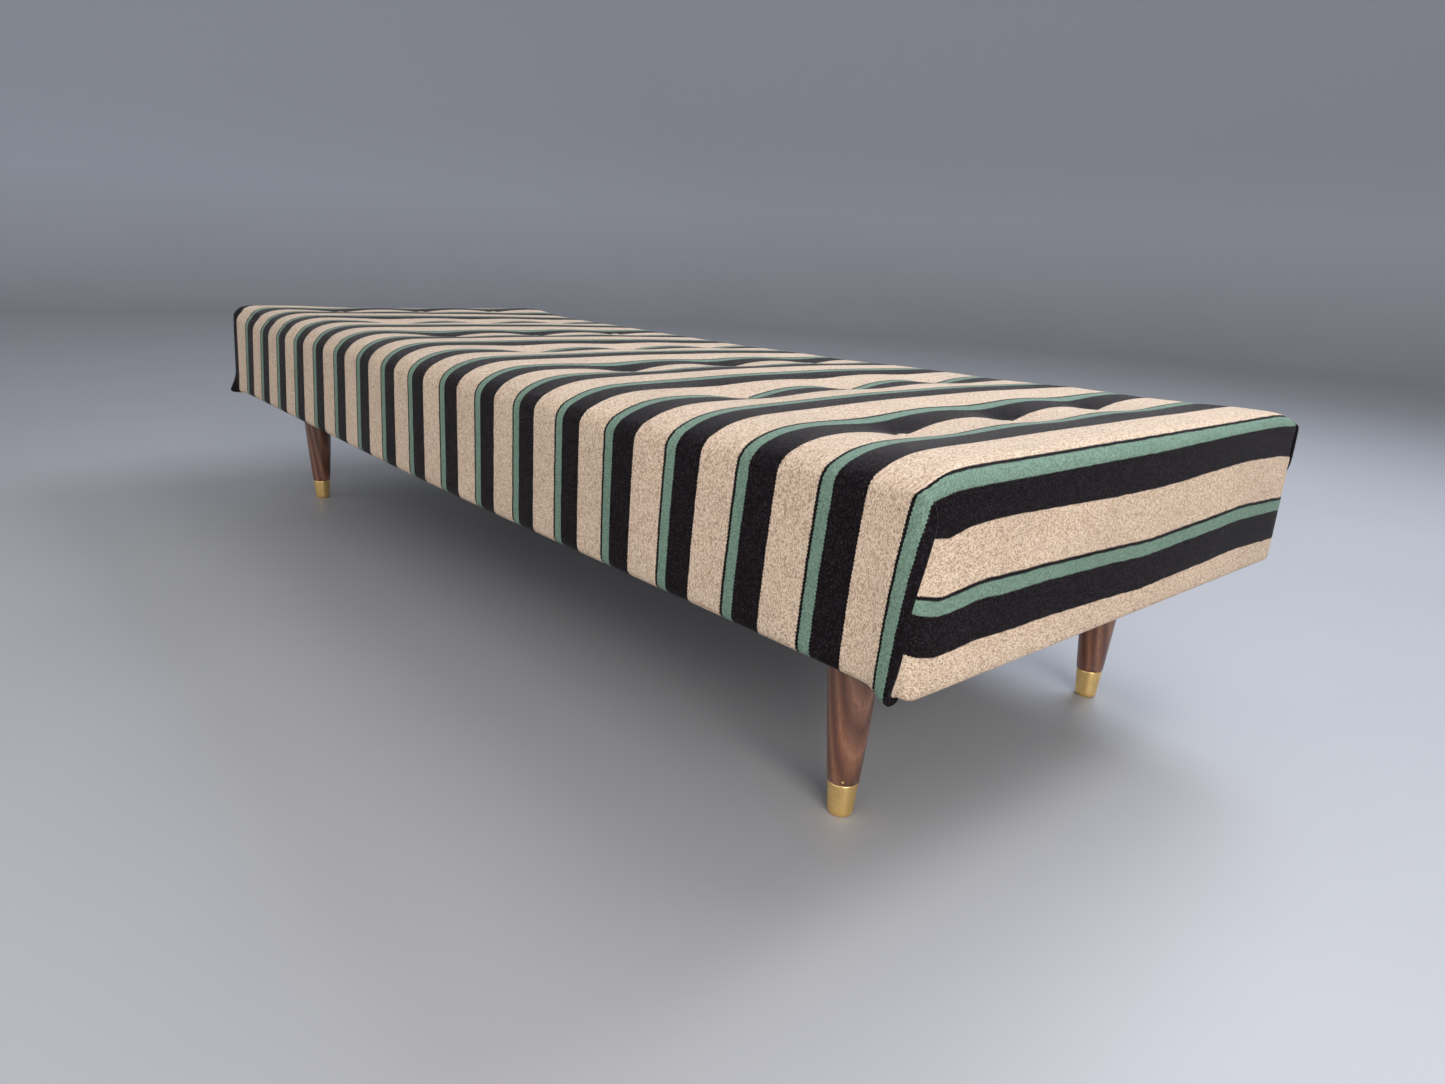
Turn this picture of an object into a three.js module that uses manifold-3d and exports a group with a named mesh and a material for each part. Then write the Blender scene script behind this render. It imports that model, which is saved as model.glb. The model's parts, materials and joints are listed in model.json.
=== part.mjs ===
// A box daybed: a sprung, button-tufted body on four tapered legs with brass ferrules.
// Millimetres, +Z up. +X runs along the bed, the long front side faces -Y.
// The origin is on the floor, under the middle of the bed.
import * as THREE from 'three';
import { mergeVertices } from 'three/addons/utils/BufferGeometryUtils.js';
import Module from 'manifold-3d';

const wasm = await Module();
wasm.setup();

// Overall sizes
const LENGTH = 1900;
const WIDTH = 745;
const BODY_BOTTOM = 224;
const EDGE_TOP = 412;
const CROWN_RISE = 17;
const EDGE_RADIUS = 32;
const GAP = 0.3;

// Tufting: rows of three buttons, two and a half stripe repeats apart. The cloth is drawn
// towards the +X end, most of all near that end, and takes the rows with it. Each row also
// sits a little off the middle line, as hand tufting does.
const TUFT_COLUMNS = 3;
const TUFT_PITCH_X = 262.5;
const TUFT_PITCH_Y = 185;
const TUFT_ROW_SHIFT = -25.5;
const CLOTH_SHIFT_MIDDLE = 3;
const CLOTH_SHIFT_TILT = 11;
const CLOTH_SHIFT_BOW = 9;
const TUFT_ROW_SLIDE = [3, 23, 0, 26, 26, 8, -15];
const TUFT_ROWS = TUFT_ROW_SLIDE.length;
const TUFT_DEPTH = 20;
const TUFT_REACH = 95;
const BUTTON_RADIUS = 11;
const BUTTON_HEIGHT = 6.5;
const BUTTON_LIFT = 3.2;

// Upholstery layers, from the outside in
const LAYER_GAP = 0.5;
const LAYER_SINK = 1.1;
const COVER_THICKNESS = 2.5;
const HEM_WIDTH = 32;
const HEM_THICKNESS = 2;
const WADDING_THICKNESS = 9;
const HESSIAN_THICKNESS = 1.5;
const HESSIAN_TOP = 352;
const HESSIAN_BOTTOM = 296;
const DUST_CLOTH_THICKNESS = 1;

// Timber frame
const RAIL_HEIGHT = 95;
const RAIL_THICKNESS = 22;
const SLAT_WIDTH = 80;
const SLAT_THICKNESS = 16;
const BEARER_WIDTH = 150;
const BEARER_THICKNESS = 30;
const CORNER_BLOCK_LEG = 48;
const CORNER_BLOCK_HEIGHT = 60;

// Springs
const SPRING_COLUMNS = 6;
const SPRING_ROW_Y = 285;
const SPRING_END_RADIUS = 45;
const SPRING_WAIST_RADIUS = 28;
const SPRING_TURNS = 3;
const SPRING_WIRE_RADIUS = 2;
const TIE_WIRE_RADIUS = 1.6;
const EDGE_WIRE_RADIUS = 2.5;
const EDGE_WIRE_INSET = 35;

// Legs
const LEG_INSET_X = 160;
const LEG_INSET_Y = 117;
const FOOT_RADIUS = 14;
const FERRULE_TOP_RADIUS = 17;
const SHOULDER_RADIUS = 17.6;
const LEG_TOP_RADIUS = 30;
const FERRULE_HEIGHT = 40;
const FERRULE_WALL = 1.2;
const FERRULE_FLOOR = 3;
const FERRULE_ROUNDING = 3;
const BOLT_RADIUS = 4.5;
const BOLT_IN_LEG = 38;
const NAIL_RADIUS = 0.9;
const NAIL_HEAD_RADIUS = 1.7;
const NAIL_HEAD_THICKNESS = 1.2;
const NAIL_LENGTH = 9;

// Heights and depths that follow from the sizes above
const DUST_TOP = BODY_BOTTOM - GAP;
const LEG_TOP = DUST_TOP - DUST_CLOTH_THICKNESS - GAP;
const FRAME_BOTTOM = BODY_BOTTOM + HEM_THICKNESS + GAP;
const WADDING_INSET = COVER_THICKNESS + LAYER_GAP;
const CORE_INSET = WADDING_INSET + WADDING_THICKNESS + LAYER_GAP;
const RAIL_INSET = CORE_INSET + HESSIAN_THICKNESS + GAP;
const INNER_X = LENGTH / 2 - RAIL_INSET - RAIL_THICKNESS;
const INNER_Y = WIDTH / 2 - RAIL_INSET - RAIL_THICKNESS;
const SPRING_SEAT = FRAME_BOTTOM + BEARER_THICKNESS;
const LEG_X = LENGTH / 2 - LEG_INSET_X;
const LEG_Y = WIDTH / 2 - LEG_INSET_Y;
const SPRING_PITCH = (2 * LEG_X) / (SPRING_COLUMNS - 1);

const MATERIALS = {
  cover: new THREE.MeshStandardMaterial({ color: 0xc7b398, roughness: 0.95, metalness: 0 }),
  button: new THREE.MeshStandardMaterial({ color: 0xd8c7b0, roughness: 0.95, metalness: 0 }),
  wadding: new THREE.MeshStandardMaterial({ color: 0xe9e4da, roughness: 1, metalness: 0 }),
  stuffing: new THREE.MeshStandardMaterial({ color: 0x5b4734, roughness: 1, metalness: 0 }),
  hessian: new THREE.MeshStandardMaterial({ color: 0xa88a5c, roughness: 1, metalness: 0 }),
  dustCloth: new THREE.MeshStandardMaterial({ color: 0x2b2a2a, roughness: 1, metalness: 0 }),
  pine: new THREE.MeshStandardMaterial({ color: 0xd2aa72, roughness: 0.7, metalness: 0 }),
  walnut: new THREE.MeshStandardMaterial({ color: 0x5f3c2a, roughness: 0.35, metalness: 0 }),
  brass: new THREE.MeshStandardMaterial({ color: 0xb48c3c, roughness: 0.3, metalness: 1 }),
  steel: new THREE.MeshStandardMaterial({ color: 0x8d9094, roughness: 0.4, metalness: 1 }),
};

const daybed = new THREE.Group();

function addPiece(name, geometry, material) {
  const piece = new THREE.Mesh(geometry, MATERIALS[material]);
  piece.name = name;
  daybed.add(piece);
  return piece;
}

// Solids for joining and cutting ---------------------------------------------------------

function toSolid(geometry) {
  const bare = geometry.clone();
  bare.deleteAttribute('normal');
  bare.deleteAttribute('uv');
  const merged = mergeVertices(bare, 1e-4);
  return new wasm.Manifold(new wasm.Mesh({
    numProp: 3,
    vertProperties: new Float32Array(merged.attributes.position.array),
    triVerts: new Uint32Array(merged.index.array),
  }));
}

function toGeometry(solid) {
  const mesh = solid.getMesh();
  const geometry = new THREE.BufferGeometry();
  geometry.setAttribute('position', new THREE.BufferAttribute(mesh.vertProperties, 3));
  geometry.setIndex(new THREE.BufferAttribute(mesh.triVerts, 1));
  geometry.computeVertexNormals();
  return geometry;
}

// A box given by its lowest and highest corners.
function box(low, high) {
  const size = high.map((value, axis) => value - low[axis]);
  const geometry = new THREE.BoxGeometry(...size);
  const middle = high.map((value, axis) => (value + low[axis]) / 2);
  return geometry.translate(...middle);
}

// A box centred on the bed in X and Y.
function centredBox(halfX, halfY, bottom, top) {
  return box([-halfX, -halfY, bottom], [halfX, halfY, top]);
}

// A solid of revolution about Z from [radius, height] points that start and end on the axis.
function turned(points, segments, x, y) {
  const profile = points.map(([radius, height]) => new THREE.Vector2(radius, height));
  const geometry = new THREE.LatheGeometry(profile, segments);
  return geometry.rotateX(Math.PI / 2).translate(x, y, 0);
}

function cylinder(radius, bottom, top, segments, x, y) {
  const geometry = new THREE.CylinderGeometry(radius, radius, top - bottom, segments);
  return geometry.rotateX(Math.PI / 2).translate(x, y, (top + bottom) / 2);
}

// The tufted body shape ------------------------------------------------------------------

function tuftX(row) {
  const place = TUFT_ROW_SHIFT + (row - (TUFT_ROWS - 1) / 2) * TUFT_PITCH_X;
  const share = 2 * place / LENGTH;
  return place + CLOTH_SHIFT_MIDDLE + CLOTH_SHIFT_TILT * share + CLOTH_SHIFT_BOW * share ** 2;
}

function tuftY(row, column) {
  return TUFT_ROW_SLIDE[row] + (column - (TUFT_COLUMNS - 1) / 2) * TUFT_PITCH_Y;
}

function tuftDip(x, y) {
  let nearest = Infinity;
  for (let row = 0; row < TUFT_ROWS; row += 1) {
    for (let column = 0; column < TUFT_COLUMNS; column += 1) {
      nearest = Math.min(nearest, Math.hypot(x - tuftX(row), y - tuftY(row, column)));
    }
  }
  return TUFT_DEPTH * Math.max(0, 1 - nearest / TUFT_REACH);
}

function crown(x, y) {
  const along = 1 - (2 * x / LENGTH) ** 8;
  const across = 1 - (2 * y / WIDTH) ** 4;
  return CROWN_RISE * along * across;
}

// Drop of the rounded upper edge, a quarter circle on every side that meets in a hip at the corners.
function edgeDrop(x, y, radius) {
  const beyondX = Math.abs(x) - (LENGTH / 2 - EDGE_RADIUS);
  const beyondY = Math.abs(y) - (WIDTH / 2 - EDGE_RADIUS);
  const reach = THREE.MathUtils.clamp(Math.max(beyondX, beyondY) / radius, 0, 1);
  return radius * (1 - Math.sqrt(1 - reach ** 2));
}

// Grid lines across one direction: close together over the rounded edges, and the inner ones.
function gridLines(half, radius, inner) {
  const arcSteps = 3;
  const lines = [...inner];
  for (let step = 0; step <= arcSteps; step += 1) {
    const reach = half - radius + radius * Math.cos((step / arcSteps) * Math.PI / 2);
    lines.push(reach, -reach);
  }
  return lines.sort((a, b) => a - b);
}

// Inner lines along the bed: one through each row of tufts, and one midway between rows.
function innerLinesX() {
  const rows = [...Array(TUFT_ROWS).keys()].map(tuftX);
  const between = rows.slice(1).map((x, row) => (x + rows[row]) / 2);
  return [...rows, ...between];
}

// Inner lines across the bed for one line along it. Those lines bend to pass through the tufts.
function innerLinesY(x) {
  const away = [...Array(TUFT_ROWS).keys()].map((row) => Math.abs(tuftX(row) - x));
  const row = away.indexOf(Math.min(...away));
  const lines = [];
  for (let place = -1.5; place <= 1.5; place += 0.5) {
    lines.push(TUFT_ROW_SLIDE[row] + place * TUFT_PITCH_Y);
  }
  return lines;
}

// The body's outer shape, moved inwards by inset on the sides and a little more on the top.
function bodyShape(inset, bottom) {
  const halfX = LENGTH / 2 - inset;
  const halfY = WIDTH / 2 - inset;
  const radius = EDGE_RADIUS - inset;
  const linesX = gridLines(halfX, radius, innerLinesX());
  const linesY = linesX.map((x) => gridLines(halfY, radius, innerLinesY(x)));
  const cellsX = linesX.length - 1;
  const cellsY = linesY[0].length - 1;
  const geometry = new THREE.BoxGeometry(cellsX, cellsY, 2, cellsX, cellsY, 1);
  const position = geometry.attributes.position;
  for (let index = 0; index < position.count; index += 1) {
    const column = Math.round(position.getX(index) + cellsX / 2);
    const x = linesX[column];
    const y = linesY[column][Math.round(position.getY(index) + cellsY / 2)];
    const plain = EDGE_TOP - inset * LAYER_SINK + crown(x, y);
    const top = plain - tuftDip(x, y) - edgeDrop(x, y, radius);
    position.setXYZ(index, x, y, position.getZ(index) > 0 ? top : bottom);
  }
  return toSolid(geometry);
}

// Upholstery -----------------------------------------------------------------------------

function addCover() {
  const hollow = bodyShape(COVER_THICKNESS, BODY_BOTTOM + HEM_THICKNESS);
  const halfX = LENGTH / 2 - HEM_WIDTH;
  const halfY = WIDTH / 2 - HEM_WIDTH;
  const mouth = toSolid(centredBox(halfX, halfY, BODY_BOTTOM - 10, FRAME_BOTTOM + 10));
  const cover = bodyShape(0, BODY_BOTTOM).subtract(hollow).subtract(mouth);
  addPiece('striped_cover', toGeometry(cover), 'cover');
}

function addWadding() {
  const hollow = bodyShape(WADDING_INSET + WADDING_THICKNESS, BODY_BOTTOM - 10);
  const wadding = bodyShape(WADDING_INSET, FRAME_BOTTOM).subtract(hollow);
  addPiece('wadding', toGeometry(wadding), 'wadding');
}

function addStuffing() {
  const pad = bodyShape(CORE_INSET, HESSIAN_TOP + GAP);
  addPiece('hair_pad', toGeometry(pad), 'stuffing');
}

function addHessian() {
  const halfX = LENGTH / 2 - CORE_INSET;
  const halfY = WIDTH / 2 - CORE_INSET;
  const skin = HESSIAN_THICKNESS;
  const outside = toSolid(centredBox(halfX, halfY, HESSIAN_BOTTOM, HESSIAN_TOP));
  const inside = toSolid(centredBox(halfX - skin, halfY - skin, BODY_BOTTOM, HESSIAN_TOP - skin));
  addPiece('hessian', toGeometry(outside.subtract(inside)), 'hessian');
}

function addDustCloth() {
  const margin = 6;
  const halfX = LENGTH / 2 - margin;
  const halfY = WIDTH / 2 - margin;
  let cloth = toSolid(centredBox(halfX, halfY, DUST_TOP - DUST_CLOTH_THICKNESS, DUST_TOP));
  for (const { x, y } of legPlaces()) {
    const hole = cylinder(BOLT_RADIUS + GAP, LEG_TOP, FRAME_BOTTOM, 16, x, y);
    cloth = cloth.subtract(toSolid(hole));
  }
  addPiece('dust_cloth', toGeometry(cloth), 'dustCloth');
}

function addButtons() {
  for (let row = 0; row < TUFT_ROWS; row += 1) {
    for (let column = 0; column < TUFT_COLUMNS; column += 1) {
      const x = tuftX(row);
      const y = tuftY(row, column);
      const seat = EDGE_TOP + crown(x, y) - TUFT_DEPTH + BUTTON_LIFT;
      const outline = [
        [0, seat],
        [BUTTON_RADIUS - 2, seat],
        [BUTTON_RADIUS, seat + 2],
        [BUTTON_RADIUS * 0.8, seat + BUTTON_HEIGHT * 0.75],
        [0, seat + BUTTON_HEIGHT],
      ];
      addPiece(`button_row${row + 1}_${column + 1}`, turned(outline, 12, x, y), 'button');
    }
  }
}

// Timber frame ---------------------------------------------------------------------------

function addRails() {
  const outX = LENGTH / 2 - RAIL_INSET;
  const outY = WIDTH / 2 - RAIL_INSET;
  const top = FRAME_BOTTOM + RAIL_HEIGHT;
  for (const [name, side] of [['front', -1], ['back', 1]]) {
    const rail = centredBox(outX, RAIL_THICKNESS / 2, FRAME_BOTTOM, top);
    addPiece(`rail_${name}`, rail, 'pine').position.y = side * (outY - RAIL_THICKNESS / 2);
  }
  for (const [name, side] of [['left_end', -1], ['right_end', 1]]) {
    const rail = centredBox(RAIL_THICKNESS / 2, INNER_Y - GAP, FRAME_BOTTOM, top);
    addPiece(`rail_${name}`, rail, 'pine').position.x = side * (outX - RAIL_THICKNESS / 2);
  }
}

function springX(column) {
  return (column - (SPRING_COLUMNS - 1) / 2) * SPRING_PITCH;
}

// Slats under the inner spring columns.
function addSlats() {
  for (let column = 1; column < SPRING_COLUMNS - 1; column += 1) {
    const bottom = SPRING_SEAT - SLAT_THICKNESS;
    const slat = centredBox(SLAT_WIDTH / 2, INNER_Y - GAP, bottom, SPRING_SEAT);
    addPiece(`slat_${column}`, slat, 'pine').position.x = springX(column);
  }
}

// A bearer carries the two legs of one end and the outermost springs.
function addBearers() {
  for (const [name, side] of [['left', -1], ['right', 1]]) {
    const middle = side * LEG_X;
    const half = BEARER_WIDTH / 2;
    let bearer = toSolid(box(
      [middle - half, -INNER_Y + GAP, FRAME_BOTTOM],
      [middle + half, INNER_Y - GAP, SPRING_SEAT],
    ));
    for (const y of [-LEG_Y, LEG_Y]) {
      const hole = cylinder(BOLT_RADIUS + GAP, FRAME_BOTTOM - 5, SPRING_SEAT + 5, 16, middle, y);
      bearer = bearer.subtract(toSolid(hole));
    }
    addPiece(`leg_bearer_${name}`, toGeometry(bearer), 'pine');
  }
}

// Triangular blocks that brace the frame's corners above the bearers.
function addCornerBlocks() {
  const bottom = FRAME_BOTTOM + RAIL_HEIGHT - CORNER_BLOCK_HEIGHT;
  for (const { name, sideX, sideY } of legPlaces()) {
    const cornerX = sideX * (INNER_X - GAP);
    const cornerY = sideY * (INNER_Y - GAP);
    const outline = new THREE.Shape();
    outline.moveTo(cornerX, cornerY);
    outline.lineTo(cornerX - sideX * CORNER_BLOCK_LEG, cornerY);
    outline.lineTo(cornerX, cornerY - sideY * CORNER_BLOCK_LEG);
    outline.closePath();
    const block = new THREE.ExtrudeGeometry(outline, { depth: CORNER_BLOCK_HEIGHT, bevelEnabled: false });
    addPiece(`corner_block_${name}`, block.translate(0, 0, bottom), 'pine');
  }
}

// Springs --------------------------------------------------------------------------------

// The centre line of an hourglass coil spring whose first and last half turns lie flat.
class SpringCurve extends THREE.Curve {
  constructor(x, y, bottom, top) {
    super();
    this.foot = new THREE.Vector3(x, y, bottom);
    this.rise = top - bottom;
  }

  getPoint(t) {
    const flat = 0.5 / SPRING_TURNS;
    const climb = THREE.MathUtils.clamp((t - flat) / (1 - 2 * flat), 0, 1);
    const flare = (2 * t - 1) ** 2;
    const radius = SPRING_WAIST_RADIUS + (SPRING_END_RADIUS - SPRING_WAIST_RADIUS) * flare;
    const angle = 2 * Math.PI * SPRING_TURNS * t;
    return new THREE.Vector3(
      this.foot.x + radius * Math.cos(angle),
      this.foot.y + radius * Math.sin(angle),
      this.foot.z + this.rise * climb,
    );
  }
}

function wireSection(radius, sides) {
  const points = [];
  for (let side = 0; side < sides; side += 1) {
    const angle = (2 * Math.PI * side) / sides;
    points.push(new THREE.Vector2(radius * Math.cos(angle), radius * Math.sin(angle)));
  }
  return new THREE.Shape(points);
}

// One lengthwise row of springs, joined along the top by a straight tie wire.
function addSpringRows() {
  const bottom = SPRING_SEAT + GAP + SPRING_WIRE_RADIUS;
  const top = HESSIAN_TOP - HESSIAN_THICKNESS - GAP - SPRING_WIRE_RADIUS;
  const reach = LEG_X + SPRING_END_RADIUS + 2;
  [-SPRING_ROW_Y, 0, SPRING_ROW_Y].forEach((y, row) => {
    const tie = new THREE.CylinderGeometry(TIE_WIRE_RADIUS, TIE_WIRE_RADIUS, 2 * reach, 6);
    let springs = toSolid(tie.rotateZ(Math.PI / 2).translate(0, y, top));
    for (let column = 0; column < SPRING_COLUMNS; column += 1) {
      const path = new SpringCurve(springX(column), y, bottom, top);
      const options = { steps: SPRING_TURNS * 9, bevelEnabled: false, extrudePath: path };
      const coil = new THREE.ExtrudeGeometry(wireSection(SPRING_WIRE_RADIUS, 4), options);
      springs = springs.add(toSolid(coil));
    }
    addPiece(`spring_row_${row + 1}`, toGeometry(springs), 'steel');
  });
}

// The wire hoop round the top of the springs, a rectangle with round corners.
function addEdgeWire() {
  const halfX = LENGTH / 2 - EDGE_WIRE_INSET;
  const halfY = WIDTH / 2 - EDGE_WIRE_INSET;
  const bend = 40;
  const slab = (growth, lift) => {
    const x = halfX + growth;
    const y = halfY + growth;
    const r = bend + growth;
    const outline = new THREE.Shape();
    outline.absarc(x - r, y - r, r, 0, Math.PI / 2);
    outline.absarc(-x + r, y - r, r, Math.PI / 2, Math.PI);
    outline.absarc(-x + r, -y + r, r, Math.PI, 1.5 * Math.PI);
    outline.absarc(x - r, -y + r, r, 1.5 * Math.PI, 2 * Math.PI);
    outline.closePath();
    const depth = 2 * lift;
    const solid = new THREE.ExtrudeGeometry(outline, { depth, bevelEnabled: false, curveSegments: 5 });
    const middle = HESSIAN_TOP - HESSIAN_THICKNESS - GAP - EDGE_WIRE_RADIUS;
    return toSolid(solid.translate(0, 0, middle - lift));
  };
  const wire = slab(EDGE_WIRE_RADIUS, EDGE_WIRE_RADIUS).subtract(slab(-EDGE_WIRE_RADIUS, 10));
  addPiece('edge_wire', toGeometry(wire), 'steel');
}

// Legs -----------------------------------------------------------------------------------

// The nail's height and its angle about the leg differ from leg to leg.
function legPlaces() {
  return [
    { name: 'front_right', sideX: 1, sideY: -1, nailHeight: 46, nailAngle: -50 },
    { name: 'back_right', sideX: 1, sideY: 1, nailHeight: 35, nailAngle: -115 },
    { name: 'front_left', sideX: -1, sideY: -1, nailHeight: 35, nailAngle: 40 },
    { name: 'back_left', sideX: -1, sideY: 1, nailHeight: 35, nailAngle: 120 },
  ].map((place) => ({ ...place, x: place.sideX * LEG_X, y: place.sideY * LEG_Y }));
}

// Radius of the leg's outside at a height above the ferrule: a taper that swells a little.
function legRadius(height) {
  const part = (height - FERRULE_HEIGHT) / (LEG_TOP - FERRULE_HEIGHT);
  const swell = 3 * part * (1 - part);
  return SHOULDER_RADIUS + (LEG_TOP_RADIUS - SHOULDER_RADIUS) * part + swell;
}

function legOutline() {
  const shoulder = FERRULE_HEIGHT + GAP;
  const tenon = FERRULE_WALL + GAP;
  const points = [
    [0, FERRULE_FLOOR + GAP],
    [FOOT_RADIUS - tenon - 1, FERRULE_FLOOR + GAP],
    [FERRULE_TOP_RADIUS - tenon, shoulder],
    [SHOULDER_RADIUS, shoulder],
  ];
  const steps = 4;
  for (let step = 1; step < steps; step += 1) {
    const height = shoulder + ((LEG_TOP - shoulder) * step) / steps;
    points.push([legRadius(height), height]);
  }
  points.push([LEG_TOP_RADIUS, LEG_TOP - 1.5], [LEG_TOP_RADIUS - 1.5, LEG_TOP], [0, LEG_TOP]);
  return points;
}

// A small headed nail lying along +X from its tip to its head. With a clearance it is the
// hole for that nail, which runs on outwards past the head.
function nailShape(clearance) {
  const shank = NAIL_RADIUS + clearance;
  const head = NAIL_HEAD_RADIUS + clearance;
  const neck = NAIL_LENGTH - NAIL_HEAD_THICKNESS - clearance;
  const end = NAIL_LENGTH + 10 * clearance;
  const outline = [[0, -clearance], [shank, -clearance], [shank, neck], [head, neck], [head, end], [0, end]];
  const profile = outline.map(([radius, height]) => new THREE.Vector2(radius, height));
  return new THREE.LatheGeometry(profile, 8).rotateZ(-Math.PI / 2);
}

// Puts the nail shape at its leg with its head flush with the surface there.
function placedNail(place, clearance) {
  const inFerrule = place.nailHeight < FERRULE_HEIGHT;
  const slope = (FERRULE_TOP_RADIUS - FOOT_RADIUS) / FERRULE_HEIGHT;
  const brassRadius = FOOT_RADIUS + slope * place.nailHeight;
  const surface = inFerrule ? brassRadius : legRadius(place.nailHeight);
  const geometry = nailShape(clearance).translate(surface - NAIL_LENGTH, 0, 0);
  geometry.rotateZ(THREE.MathUtils.degToRad(place.nailAngle));
  return geometry.translate(place.x, place.y, place.nailHeight);
}

function addLeg(place) {
  const outside = toSolid(turned(legOutline(), 24, place.x, place.y));
  const boltFoot = LEG_TOP - BOLT_IN_LEG - GAP;
  const boltHole = toSolid(cylinder(BOLT_RADIUS + GAP, boltFoot, LEG_TOP + 5, 16, place.x, place.y));
  const leg = outside.subtract(boltHole).subtract(toSolid(placedNail(place, GAP)));
  addPiece(`leg_${place.name}`, toGeometry(leg), 'walnut');
}

function addFerrule(place) {
  const round = FERRULE_ROUNDING;
  const outline = [
    [0, 0],
    [FOOT_RADIUS - round, 0],
    [FOOT_RADIUS - round * 0.3, round * 0.3],
    [FOOT_RADIUS, round],
    [FERRULE_TOP_RADIUS, FERRULE_HEIGHT],
    [FERRULE_TOP_RADIUS - FERRULE_WALL, FERRULE_HEIGHT],
    [FOOT_RADIUS - FERRULE_WALL - 1, FERRULE_FLOOR],
    [0, FERRULE_FLOOR],
  ];
  const cup = toSolid(turned(outline, 24, place.x, place.y));
  const ferrule = cup.subtract(toSolid(placedNail(place, GAP)));
  addPiece(`ferrule_${place.name}`, toGeometry(ferrule), 'brass');
}

// A hanger bolt: a screw point in the leg and a straight stud in the bearer.
function addHangerBolt(place) {
  const foot = LEG_TOP - BOLT_IN_LEG;
  const head = SPRING_SEAT - 1;
  const outline = [
    [0, foot],
    [BOLT_RADIUS * 0.4, foot],
    [BOLT_RADIUS, foot + 8],
    [BOLT_RADIUS, head - 1],
    [BOLT_RADIUS - 1, head],
    [0, head],
  ];
  addPiece(`hanger_bolt_${place.name}`, turned(outline, 12, place.x, place.y), 'steel');
}

addCover();
addWadding();
addStuffing();
addHessian();
addDustCloth();
addButtons();
addRails();
addSlats();
addBearers();
addCornerBlocks();
addSpringRows();
addEdgeWire();
for (const place of legPlaces()) {
  addLeg(place);
  addFerrule(place);
  addHangerBolt(place);
  addPiece(`ferrule_nail_${place.name}`, placedNail(place, 0), 'brass');
}

export default daybed;
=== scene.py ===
"""Looks of the tufted daybed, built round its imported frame. Metres, +Z up, the long front faces -Y."""
import json
import math

import bpy
import numpy as np
from mathutils import Matrix, Vector


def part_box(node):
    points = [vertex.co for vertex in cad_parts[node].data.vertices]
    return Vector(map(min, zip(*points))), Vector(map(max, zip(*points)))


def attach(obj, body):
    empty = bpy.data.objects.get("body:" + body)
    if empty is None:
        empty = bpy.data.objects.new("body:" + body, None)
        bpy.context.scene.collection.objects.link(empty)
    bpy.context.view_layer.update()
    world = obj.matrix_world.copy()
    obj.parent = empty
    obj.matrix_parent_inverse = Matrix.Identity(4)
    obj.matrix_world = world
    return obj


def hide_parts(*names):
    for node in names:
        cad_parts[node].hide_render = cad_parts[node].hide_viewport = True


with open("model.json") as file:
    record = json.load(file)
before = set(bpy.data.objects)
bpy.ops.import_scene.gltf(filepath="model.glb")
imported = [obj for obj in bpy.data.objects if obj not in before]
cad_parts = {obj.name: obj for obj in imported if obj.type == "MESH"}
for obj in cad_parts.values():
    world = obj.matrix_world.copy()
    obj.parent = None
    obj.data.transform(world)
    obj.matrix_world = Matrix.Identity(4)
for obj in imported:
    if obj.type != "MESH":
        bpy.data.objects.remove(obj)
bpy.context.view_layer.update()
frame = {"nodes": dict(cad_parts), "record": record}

# ---- The body, as the frame gives it ----
COVER_LOW, COVER_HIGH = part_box("striped_cover")
HALF_X = COVER_HIGH.x
HALF_Y = COVER_HIGH.y
HEM_Z = COVER_LOW.z
TUFT_ROWS = 7
TUFT_COLUMNS = 3
CORNERS = [("front_right", 1, -1), ("back_right", 1, 1), ("front_left", -1, -1), ("back_left", -1, 1)]

# How the stuffed body bends from its sides to its top: reach inwards from the ends and the long sides
END_REACH = 0.022
END_DROP = 0.021
SIDE_REACHES = [(-0.95, 0.036), (-0.90, 0.054), (-0.8, 0.080), (0.86, 0.080), (0.95, 0.066)]
SIDE_REACH_USUAL = 0.080
SIDE_DROP_USUAL = 0.035

# Heights along the bed, from its far end to its near end (x: height of the crest, start of the bend)
CREST = [(-0.95, 0.411), (-0.6, 0.411), (-0.2, 0.411), (0.2, 0.412), (0.56, 0.415),
         (0.67, 0.419), (0.78, 0.420), (0.89, 0.424), (0.95, 0.423)]
BEND_START = [(-0.95, 0.383), (-0.90, 0.372), (-0.8, 0.365), (-0.6, 0.367), (-0.2, 0.370), (0.2, 0.373),
              (0.56, 0.380), (0.67, 0.386), (0.78, 0.390), (0.89, 0.397), (0.95, 0.401)]
# Crown of the top between its long sides (x: metres)
CROWNS = [(-0.95, 0.0), (-0.85, 0.003), (-0.7, 0.003), (0.0, 0.005), (0.4, 0.008), (0.75, 0.008), (0.95, 0.0)]
# How much lower the back edge is than the front edge
BACK_DROP = [(-0.95, 0.0), (-0.82, 0.0), (-0.7, 0.008), (-0.1, 0.009), (0.25, 0.005), (0.45, 0.002),
             (0.95, 0.002)]
# How much the back part of the far end hangs below the rest
FAR_SAG = 0.006
CROWN_HALF_WIDTH = 0.31
# Reach of a tuft's hollow along and across the bed, and how rounded its bottom is
TUFT_SPREAD_X = 0.046
TUFT_SPREAD_Y = 0.050
TUFT_SOFTNESS = 0.15

# Outward swell of the long sides (x: metres outwards), high up and low down
SWELL_HIGH = [(-0.95, -0.0065), (-0.8, -0.0065), (-0.5, -0.004), (-0.2, -0.002), (0.0, 0.0013),
              (0.25, 0.0), (0.5, 0.007), (0.62, 0.004), (0.72, 0.001), (0.89, 0.003), (0.95, 0.002)]
SWELL_LOW = [(-0.95, 0.0), (-0.8, 0.003), (0.0, 0.003), (0.5, 0.003), (0.8, 0.002), (0.95, 0.0)]
SWELL_TOP_Z = 0.385
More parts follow.
